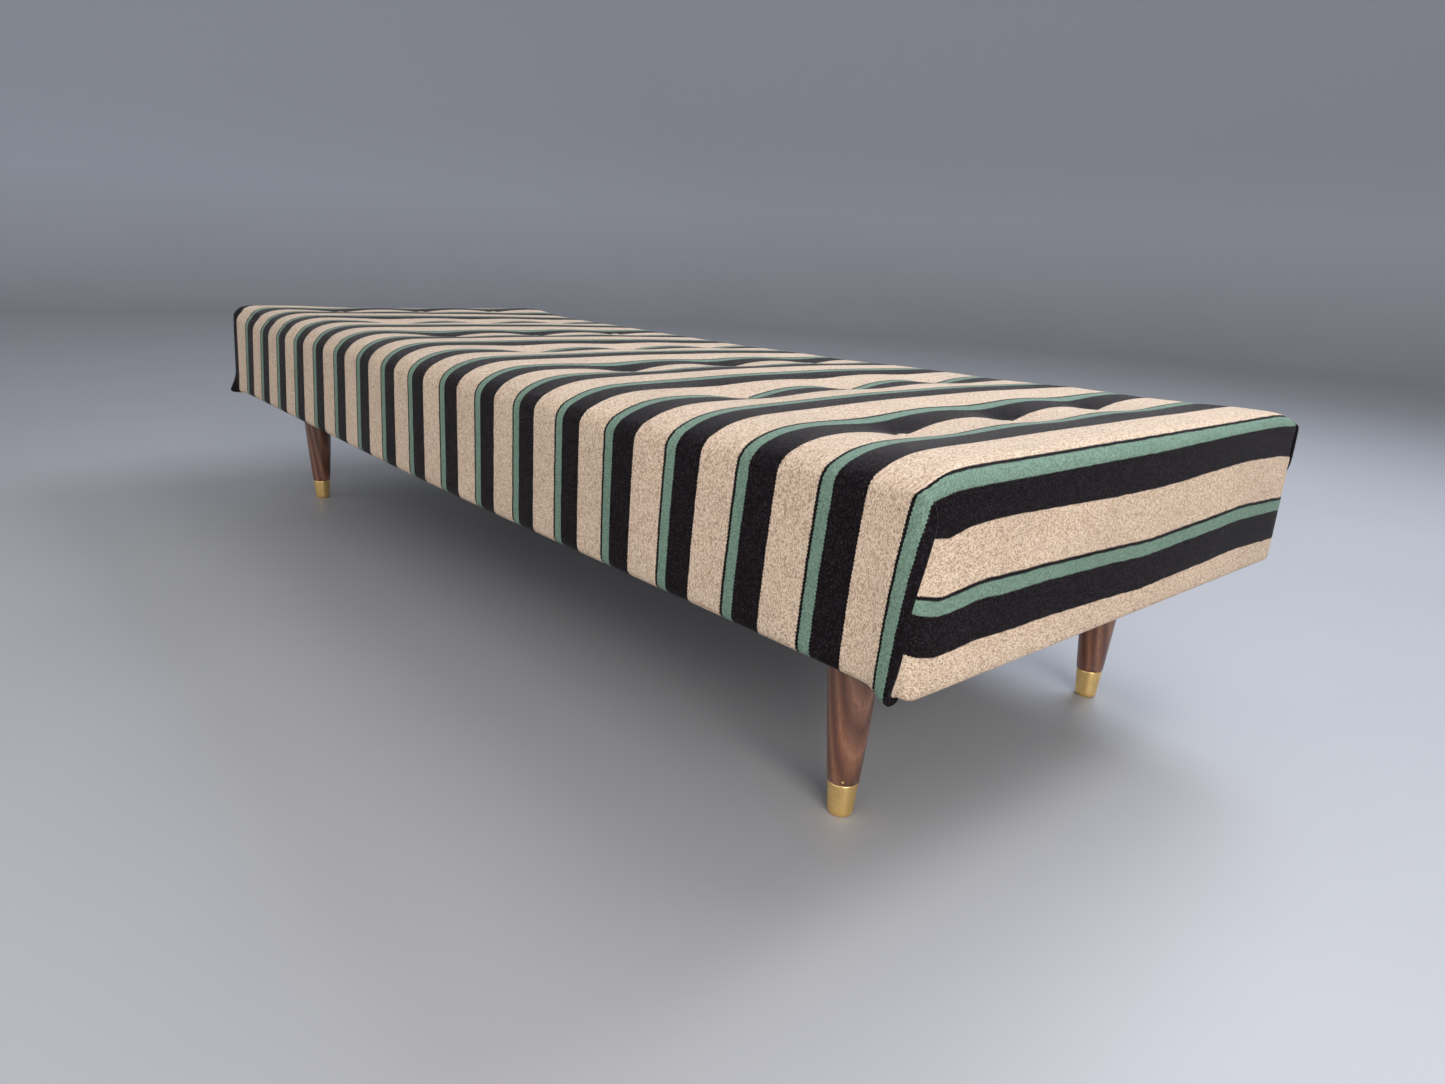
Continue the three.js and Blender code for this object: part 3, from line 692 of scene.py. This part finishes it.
def brass():
    """Aged brass: brushed upright streaks, darker and duller towards the foot, small dull spots."""
    n = Nodes("brass")
    place = n.object_place()
    streak = n.noise(n.scaled(place, (700, 700, 30)), 1.0, 3.0, 0.6)
    cloud = n.noise(place, 55.0, 4.0, 0.6)
    tarnish = n.ramp(n.weigh(cloud, 0.7, streak, 0.3), [(0.40, 0.0), (0.68, 1.0)])
    # Darker, duller colour and rougher finish over the lowest centimetre of the ferrule
    foot = n.ramp(n.split(place)[2], [(0.002, 0.6), (0.012, 0.0)])
    dull = n.math("MAXIMUM", tarnish, foot)
    color = n.mix(n.times(dull, 0.6), linear(255, 214, 134), linear(202, 152, 82))
    color = n.mix(n.times(streak, 0.35), color, linear(255, 234, 180))
    roughness = n.plus(0.26, n.times(dull, 0.2))
    normal = n.bump(streak, 0.00008, 0.6)
    return n.set(color=color, roughness=roughness, normal=normal, metallic=0.9)


def steel(name, dark, light):
    """Wire and fixings: dull steel with darker patches."""
    n = Nodes(name)
    place = n.object_place()
    patches = n.noise(place, 70.0, 4.0, 0.6)
    color = n.ramp(patches, [(0.35, linear(*dark)), (0.65, linear(*light))])
    roughness = n.plus(0.32, n.times(patches, 0.25))
    return n.set(color=color, roughness=roughness, normal=n.bump(patches, 0.0001, 0.4), metallic=1.0)


def pine():
    """Planed pine: wide yellow grain with darker latewood."""
    n = Nodes("frame_pine")
    place = n.object_place()
    warp = n.noise(n.scaled(place, (1.6, 1.6, 6)), 1.0, 3.0)
    rings = n.times(n.noise(n.scaled(place, (2, 2, 40)), 1.0), 9.0)
    grain = n.math("PINGPONG", n.plus(rings, n.times(warp, 5.0)), 1.0)
    fibre = n.noise(n.scaled(place, (40, 40, 700)), 1.0, 2.0)
    tone = n.weigh(grain, 0.7, fibre, 0.35)
    color = n.ramp(tone, [(0.15, linear(226, 190, 138)), (0.6, linear(208, 164, 108)),
                          (0.95, linear(168, 118, 70))])
    return n.set(color=color, roughness=0.62, normal=n.bump(fibre, 0.0002, 0.5))


def plain_weave(name, dark, light, thread, openness):
    """A plain woven cloth seen close: over and under threads of one tone."""
    n = Nodes(name)
    place = n.object_place()
    x, y, _ = n.split(place)
    warp = n.math("ABSOLUTE", n.math("SINE", n.times(x, math.pi / thread)))
    weft = n.math("ABSOLUTE", n.math("SINE", n.times(y, math.pi / thread)))
    weave = n.math("MAXIMUM", warp, weft)
    uneven = n.noise(place, 260.0, 3.0, 0.6)
    tone = n.plus(n.times(weave, openness), n.times(uneven, 0.5))
    color = n.ramp(tone, [(0.35, linear(*dark)), (1.0, linear(*light))])
    return n.set(color=color, roughness=0.9, normal=n.bump(tone, thread * 0.4, 0.6), sheen=0.2)


def fleece(name, dark, light, scale):
    """Loose fibre: cotton wadding or curled hair."""
    n = Nodes(name)
    place = n.object_place()
    curls = n.noise(place, scale, 5.0, 0.7, 1.5)
    tufts = n.noise(place, scale / 7, 3.0, 0.6)
    tone = n.weigh(curls, 0.6, tufts, 0.4)
    color = n.ramp(tone, [(0.3, linear(*dark)), (0.7, linear(*light))])
    return n.set(color=color, roughness=0.95, normal=n.bump(tone, 0.002, 0.7), sheen=0.3)


MATERIALS = {
    "striped_wool": wool("striped_wool", True),
    "button_wool": wool("button_wool", False),
    "walnut": walnut(),
    "brass": brass(),
    "bolt_steel": steel("bolt_steel", (96, 96, 98), (150, 150, 152)),
    "spring_steel": steel("spring_steel", (84, 82, 80), (128, 126, 124)),
    "frame_pine": pine(),
    "hessian_cloth": plain_weave("hessian_cloth", (120, 94, 58), (186, 156, 108), 0.0026, 0.8),
    "dust_cloth_weave": plain_weave("dust_cloth_weave", (20, 20, 21), (52, 51, 51), 0.0009, 0.6),
    "cotton_wadding": fleece("cotton_wadding", (206, 198, 184), (238, 233, 222), 420.0),
    "hair_stuffing": fleece("hair_stuffing", (44, 32, 24), (98, 76, 56), 300.0),
}


def dress(piece, slot, *replaced):
    """Gives a new piece its material, its slot and its place on the frame."""
    piece.data.materials.clear()
    piece.data.materials.append(MATERIALS[slot])
    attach(piece, "root")
    if replaced:
        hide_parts(*replaced)
    return piece


# ---- Pieces ----
# The settling of the cover: cloth shrinkage below 0 is slack, and no point moves further than the limit
CLOTH_FRAMES = 20
CLOTH_PRESSURE = 4
SETTLE_LIMIT = 0.005
SETTLE_LENGTH = -0.004
WOOL_THICKNESS = 0.0022
# Where the cover is held: below a height, and close to the buttons, the corners and the ends.
# Each pair is where the hold starts to let go, and over how far it does.
HELD_BELOW = (0.392, 0.02)
HELD_BUTTON = (0.011, 0.018)
HELD_CORNER = (0.045, 0.04)
HELD_END = (0.004, 0.02)


def cover_held(places):
    """How firmly each point of the cover is held: 1 where it is nailed, tufted or pulled tight."""
    def near(distance, hold):
        return 1 - smooth((distance - hold[0]) / hold[1])

    x, y, z = places.T
    held = smooth((HELD_BELOW[0] - z) / HELD_BELOW[1])
    for tuft_x, tuft_y in TUFTS:
        held = np.maximum(held, near(np.hypot(x - tuft_x, y - tuft_y), HELD_BUTTON))
    from_end = HALF_X - np.abs(x)
    from_corner = np.hypot(np.clip(from_end, 0, None), np.clip(HALF_Y - np.abs(y), 0, None))
    held = np.maximum(held, near(from_corner, HELD_CORNER))
    return np.maximum(held, near(from_end, HELD_END))


def settle(piece, held):
    """Lets the cloth settle, pushed outwards by the stuffing, and keeps the result."""
    before = np.empty(len(piece.data.vertices) * 3)
    piece.data.vertices.foreach_get("co", before)
    group = piece.vertex_groups.new(name="held")
    for index, weight in enumerate(held):
        group.add([index], float(weight), "REPLACE")
    modifier = piece.modifiers.new("cloth", "CLOTH")
    cloth = modifier.settings
    cloth.quality = 6
    cloth.mass = 0.2
    cloth.tension_stiffness = cloth.compression_stiffness = 15
    cloth.shear_stiffness = 6
    cloth.bending_stiffness = 0.6
    cloth.vertex_group_mass = "held"
    cloth.shrink_min = SETTLE_LENGTH
    cloth.use_pressure = True
    cloth.uniform_pressure_force = CLOTH_PRESSURE
    cloth.effector_weights.gravity = 0
    modifier.collision_settings.use_collision = False
    modifier.point_cache.frame_start = 1
    modifier.point_cache.frame_end = CLOTH_FRAMES
    scene = bpy.context.scene
    for step in range(1, CLOTH_FRAMES + 1):
        scene.frame_set(step)
    settled = piece.evaluated_get(bpy.context.evaluated_depsgraph_get()).to_mesh()
    after = np.empty_like(before)
    settled.vertices.foreach_get("co", after)
    moved = (after - before).reshape(-1, 3)
    length = np.linalg.norm(moved, axis=1)
    moved *= np.minimum(1, SETTLE_LIMIT / np.maximum(length, 1e-9))[:, None]
    piece.modifiers.clear()
    piece.vertex_groups.clear()
    piece.data.vertices.foreach_set("co", before + moved.ravel())
    piece.data.update()
    scene.frame_set(1)


def make_cover():
    places, faces, cloth = cover_net()
    piece = mesh_object("striped_wool_cover", places, faces, cloth)
    settle(piece, cover_held(places))
    thicken(piece, WOOL_THICKNESS, -1, 1)
    return dress(piece, "striped_wool", "striped_cover")


def lathe(name, outline, x, y, segments, ripple=None):
    """A body of revolution from (radius, height) points that start and end on the axis."""
    angles = np.linspace(0, 2 * math.pi, segments, endpoint=False)
    places = [(x, y, outline[0][1])]
    for radius, height in outline[1:-1]:
        for angle in angles:
            r = radius * (ripple(angle, height) if ripple else 1.0)
            places.append((x + r * math.cos(angle), y + r * math.sin(angle), height))
    places.append((x, y, outline[-1][1]))
    faces = []
    rings = len(outline) - 2
    for k in range(segments):
        after = (k + 1) % segments
        faces.append((0, 1 + after, 1 + k))
        for ring in range(rings - 1):
            low, high = 1 + ring * segments, 1 + (ring + 1) * segments
            faces.append((low + k, low + after, high + after, high + k))
        top = 1 + (rings - 1) * segments
        faces.append((top + k, top + after, len(places) - 1))
    return mesh_object(name, places, faces)


LEG_SEGMENTS = 72
LEG_RINGS = 24
NECK_RADIUS = 0.0176
LEG_SWELL = 0.003
FERRULE_FOOT = 0.014
FERRULE_RIM = 0.017
FERRULE_HEIGHT = 0.04


def make_legs():
    """The turned wooden legs and their brass ferrules."""
    for name, _, _ in CORNERS:
        x, y, top_radius = middle_of(f"leg_{name}")
        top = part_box(f"leg_{name}")[1].z
        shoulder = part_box(f"ferrule_{name}")[1].z + 0.0003
        outline = [(0, shoulder - 0.002), (0.0155, shoulder - 0.002), (0.0158, shoulder), (0.0172, shoulder),
                   (NECK_RADIUS, shoulder + 0.0005)]
        for step in range(1, LEG_RINGS):
            part = step / LEG_RINGS
            radius = NECK_RADIUS + (top_radius - NECK_RADIUS) * part + LEG_SWELL * part * (1 - part)
            outline.append((radius, shoulder + (top - shoulder) * part))
        outline += [(top_radius, top - 0.0015), (top_radius - 0.0005, top - 0.0006),
                    (top_radius - 0.0015, top), (0.0, top)]
        dress(lathe(f"walnut_leg_{name}", outline, x, y, LEG_SEGMENTS), "walnut", f"leg_{name}")
        foot, rim = FERRULE_FOOT, FERRULE_RIM
        outline = [(0, 0.0), (foot - 0.003, 0.0), (foot - 0.0018, 0.0004), (foot - 0.0007, 0.0014),
                   (foot, 0.003), (foot + 0.0005, 0.008)]
        outline += [(foot + (rim - foot) * z / FERRULE_HEIGHT, z) for z in (0.014, 0.02, 0.026, 0.032, 0.037)]
        outline += [(rim - 0.0001, 0.0388), (rim - 0.0002, 0.0396), (rim - 0.0006, FERRULE_HEIGHT),
                    (rim - 0.0011, 0.0399), (rim - 0.0012, 0.0385), (0.0158, 0.036), (0.0, 0.036)]
        dress(lathe(f"brass_ferrule_{name}", outline, x, y, LEG_SEGMENTS), "brass", f"ferrule_{name}")


# A button's outline: (share of its radius, height above its seat)
BUTTON_PROFILE = [(0, 0), (0.75, 0), (0.94, 0.0008), (1.0, 0.0022), (0.97, 0.0036), (0.84, 0.0050),
                  (0.62, 0.0060), (0.32, 0.0066), (0, 0.0068)]
BUTTON_SINK = 0.0042
BUTTON_GATHERS = 11
BUTTON_SEGMENTS = 44
BUTTON_SEED = 7


def make_buttons():
    """The cloth-covered buttons, gathered towards their backs."""
    generator = np.random.default_rng(BUTTON_SEED)
    for node in BUTTONS:
        x, y, radius = middle_of(node)
        seat = tuft_bottom(x) - BUTTON_SINK
        phase = generator.uniform(0, 6.28)
        outline = [(radius * share, seat + height) for share, height in BUTTON_PROFILE]

        def ripple(angle, height):
            gathered = 1 - min(1, (height - seat) / 0.004)
            return 1 + 0.035 * gathered * math.sin(BUTTON_GATHERS * angle + phase)

        dress(lathe(f"covered_{node}", outline, x, y, BUTTON_SEGMENTS, ripple), "button_wool", node)


TURNED_EDGE = 0.018
DUST_INSET = 0.013


def flat_cloth(name, high, thickness, gap, shape):
    """A cloth laid flat out to high with its edges turned over. shape(x, y) is its height."""
    def turned(half, steps):
        flat = np.linspace(-half, half, steps)
        edge = half + np.array([0.0008, 0.002, TURNED_EDGE * 0.5, TURNED_EDGE])
        return np.concatenate([-edge[::-1], flat, edge])

    def folded(u, half):
        past = np.abs(u) - half
        place = np.where(past > 0.001, np.sign(u) * (half - past), np.clip(u, -half, half))
        return place, np.where(past > 0.001, 1.0, np.where(past > 0, 0.5, 0.0))

    u, v = np.meshgrid(turned(high.x, 110), turned(high.y, 46), indexing="ij")
    x, over_x = folded(u, high.x)
    y, over_y = folded(v, high.y)
    z = shape(x, y) + gap * (over_x + over_y)
    places = np.stack([x, y, z], -1).reshape(-1, 3)
    piece = mesh_object(name, places, grid_corners(numbered(x.shape)))
    thicken(piece, thickness, 0)
    return piece


def make_dust_cloth():
    """The black cloth under the frame, over the cover's turned edge, with its own edges turned in."""
    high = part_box("dust_cloth")[1] - Vector((DUST_INSET, DUST_INSET, 0))

    def shape(x, y):
        bow = hem_bow(x) * smooth((np.abs(y) - 0.25) / 0.08)
        middle = smooth((0.72 - np.abs(x)) / 0.3) * smooth((0.2 - np.abs(y)) / 0.15)
        sag = 0.0016 + 0.0006 * np.sin(11 * x + 1) * np.cos(9 * y)
        return HEM_Z - 0.0011 - bow - sag * middle

    piece = flat_cloth("black_dust_cloth", high, 0.0005, 0.0006, shape)
    return dress(piece, "dust_cloth_weave", "dust_cloth")


def make_hessian():
    """The coarse cloth over the springs, with its edges turned up; each spring shows as a low swell."""
    low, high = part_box("hessian")
    middle = (low.z + high.z) / 2

    def shape(x, y):
        over_springs = np.sin(x * math.pi / 0.09) ** 2 * np.cos(y * math.pi / 0.2) ** 2
        return middle - 0.0006 + 0.0008 * over_springs

    piece = flat_cloth("hessian_over_springs", high, 0.0009, 0.0011, shape)
    return dress(piece, "hessian_cloth", "hessian")


STUFFING_LINES = 0.024
WADDING_DEPTH = 0.0042
WADDING_THICKNESS = 0.0075
PAD_DEPTH = 0.0135
PAD_FLOOR = 0.3525
PAD_INSET = 0.013


def without_spares(places, faces, *marks):
    """Drops the points that no face uses, and their marks."""
    used = np.zeros(len(places), bool)
    used[faces.ravel()] = True
    return places[used], (np.cumsum(used) - 1)[faces], *(mark[used] for mark in marks)


def stuffing_net(step, depth, floor_z):
    """A closed copy of the stuffed body, its surface sunk by depth and cut off flat at floor_z."""
    xs = lines(HALF_X, [0.0, 0.008, 0.018, 0.034], step)
    ys = lines(HALF_Y, [0.0, 0.015, 0.034, 0.058], step)
    grid_x, grid_y = np.meshgrid(xs, ys, indexing="ij")
    places = [body_place(grid_x, grid_y, np.zeros_like(grid_x)).reshape(-1, 3)]
    index = numbered(grid_x.shape)
    rim = np.concatenate([index[:-1, 0], index[-1, :-1], index[:0:-1, -1], index[0, :0:-1]])
    flat_x, flat_y = grid_x.ravel()[rim], grid_y.ravel()[rim]
    faces = [grid_corners(index)]
    above = rim
    count = grid_x.size
    for level in (0.35, 0.7, 1.0, 1.3, 1.6, 2.0):
        places.append(body_place(flat_x, flat_y, np.full_like(flat_x, level)))
        below = count + np.arange(len(rim))
        count += len(rim)
        faces.append(np.stack([above, below, np.roll(below, -1), np.roll(above, -1)], -1))
        above = below
    # The flat underside, a second grid whose rim is the lowest ring
    places.append(np.stack([grid_x.ravel(), grid_y.ravel(), np.full(grid_x.size, floor_z)], -1))
    under = numbered(grid_x.shape, count)
    under.flat[rim] = above
    faces.append(grid_corners(under, True))
    places = np.concatenate(places)
    faces = np.concatenate(faces)
    # Sink every outer point along its normal
    normals = np.zeros_like(places)
    for a, b, c in ((0, 1, 2), (0, 2, 3)):
        start = places[faces[:, a]]
        normal = np.cross(places[faces[:, b]] - start, places[faces[:, c]] - start)
        for k in (a, b, c):
            np.add.at(normals, faces[:, k], normal)
    normals /= np.linalg.norm(normals, axis=1)[:, None] + 1e-12
    sunk = places - normals * depth
    sunk[:, 2] = np.maximum(sunk[:, 2], floor_z)
    is_floor = np.zeros(len(places), bool)
    is_floor[under] = True
    sunk[is_floor, 2] = floor_z
    return without_spares(sunk, faces, is_floor)


def make_stuffing():
    """The cotton wadding under the cover, and the hair pad under the wadding."""
    places, faces, is_floor = stuffing_net(STUFFING_LINES, WADDING_DEPTH, HEM_Z + 0.004)
    faces = faces[~is_floor[faces].all(axis=1)]
    wadding = mesh_object("cotton_wadding_layer", *without_spares(places, faces))
    thicken(wadding, WADDING_THICKNESS, -1)
    dress(wadding, "cotton_wadding", "wadding")
    places, faces, _ = stuffing_net(STUFFING_LINES, PAD_DEPTH, PAD_FLOOR)
    limit = np.array((HALF_X - PAD_INSET, HALF_Y - PAD_INSET))
    places[:, :2] = np.clip(places[:, :2], -limit, limit)
    pad = mesh_object("curled_hair_pad", places, faces)
    dress(pad, "hair_stuffing", "hair_pad")
    return wadding, pad


cover = make_cover()
wadding, hair_pad = make_stuffing()
make_legs()
make_buttons()
dust_cloth = make_dust_cloth()
hessian = make_hessian()

SLOTS = {sub["node"]: sub["material_slot"] for sub in frame["record"]["subparts"]}
for node_name, node in frame["nodes"].items():
    if not node.hide_render:
        node.data.materials.clear()
        node.data.materials.append(MATERIALS[SLOTS[node_name]])

# ---- Room, light and camera ----
def make_stage():
    """A plain floor that curves up into a round wall a long way off."""
    segments = 96
    flat, bend, top = 6.0, 1.5, 5.0
    profile = [(0.0, 0.0), (1.5, 0.0), (3.0, 0.0), (5.0, 0.0), (flat, 0.0)]
    for step in range(1, 13):
        angle = step / 12 * math.pi / 2
        profile.append((flat + bend * math.sin(angle), bend - bend * math.cos(angle)))
    profile.append((flat + bend, top))
    places = [(0, 0, 0)]
    for radius, height in profile[1:]:
        for k in range(segments):
            angle = 2 * math.pi * k / segments
            places.append((radius * math.cos(angle), radius * math.sin(angle), height))
    faces = [(0, 1 + k, 1 + (k + 1) % segments) for k in range(segments)]
    for ring in range(len(profile) - 2):
        low, high = 1 + ring * segments, 1 + (ring + 1) * segments
        for k in range(segments):
            after = (k + 1) % segments
            faces.append((low + k, high + k, high + after, low + after))
    floor = mesh_object("floor", places, faces)
    n = Nodes("painted_floor")
    place = n.object_place()
    tone = n.noise(place, 1.3, 4.0, 0.55)
    color = n.ramp(tone, [(0.3, linear(152, 152, 154)), (0.7, linear(156, 156, 158))])
    wall = n.ramp(n.split(place)[2], [(0.0, 0.0), (0.9, 1.0)])
    color = n.mix(wall, color, linear(176, 178, 184))
    n.set(color=color, roughness=0.5, specular=0.35, normal=n.bump(n.noise(place, 40.0, 3.0), 0.0004, 0.2))
    floor.data.materials.append(n.material)


def area_light(name, place, aim, size, power, color):
    data = bpy.data.lights.new(name, "AREA")
    data.shape = "RECTANGLE"
    data.size, data.size_y = size
    data.energy = power
    data.color = color
    light = bpy.data.objects.new(name, data)
    light.location = place
    light.rotation_euler = (Vector(aim) - Vector(place)).to_track_quat("-Z", "Y").to_euler()
    bpy.context.scene.collection.objects.link(light)


def make_lights():
    area_light("ceiling_right", (1.6, 0.7, 2.6), (0.9, 0.2, 0.2), (1.5, 0.7), 26, (1.0, 0.99, 0.98))
    area_light("ceiling_back", (0.6, 2.4, 2.7), (0.2, 0.0, 0.3), (2.2, 1.0), 86, (0.86, 0.965, 1.16))
    area_light("front_high", (2.0, -2.5, 2.0), (0.8, -0.2, 0.1), (1.8, 1.1), 14, (1.0, 0.97, 0.95))
    area_light("right_fill", (3.2, -1.35, 1.45), (0.9, -0.3, 0.1), (1.7, 1.2), 79, (1.0, 0.965, 0.935))
    area_light("front_fill", (-0.4, -4.2, 0.9), (-0.2, 0, 0.15), (5.0, 1.4), 52, (1.0, 0.97, 0.945))
    world = bpy.data.worlds.new("studio")
    world.use_nodes = True
    background = world.node_tree.nodes["Background"]
    background.inputs[0].default_value = (*linear(214, 218, 226), 1)
    background.inputs[1].default_value = 0.9
    bpy.context.scene.world = world


CAMERA_PLACE = (1.3939, -0.9801, 0.5791)
CAMERA_AZIMUTH = 48.518
CAMERA_ELEVATION = 16.737
CAMERA_ROLL = 2.979
LENS = 24.26


def make_camera():
    azimuth, elevation, roll = (math.radians(v) for v in (CAMERA_AZIMUTH, CAMERA_ELEVATION, CAMERA_ROLL))
    back = Vector((math.sin(azimuth) * math.cos(elevation), -math.cos(azimuth) * math.cos(elevation),
                   math.sin(elevation)))
    level_right = (-back).cross(Vector((0, 0, 1))).normalized()
    level_up = level_right.cross(-back)
    right = level_right * math.cos(roll) + level_up * math.sin(roll)
    up = level_up * math.cos(roll) - level_right * math.sin(roll)
    data = bpy.data.cameras.new("camera")
    data.sensor_fit = "HORIZONTAL"
    data.sensor_width = 36.0
    data.lens = LENS
    data.clip_start = 0.05
    camera = bpy.data.objects.new("camera", data)
    turned = Matrix((right, up, back)).transposed().to_4x4()
    camera.matrix_world = Matrix.Translation(CAMERA_PLACE) @ turned
    bpy.context.scene.collection.objects.link(camera)
    bpy.context.scene.camera = camera


make_stage()
make_lights()
make_camera()
bpy.context.scene.view_settings.view_transform = "Standard"
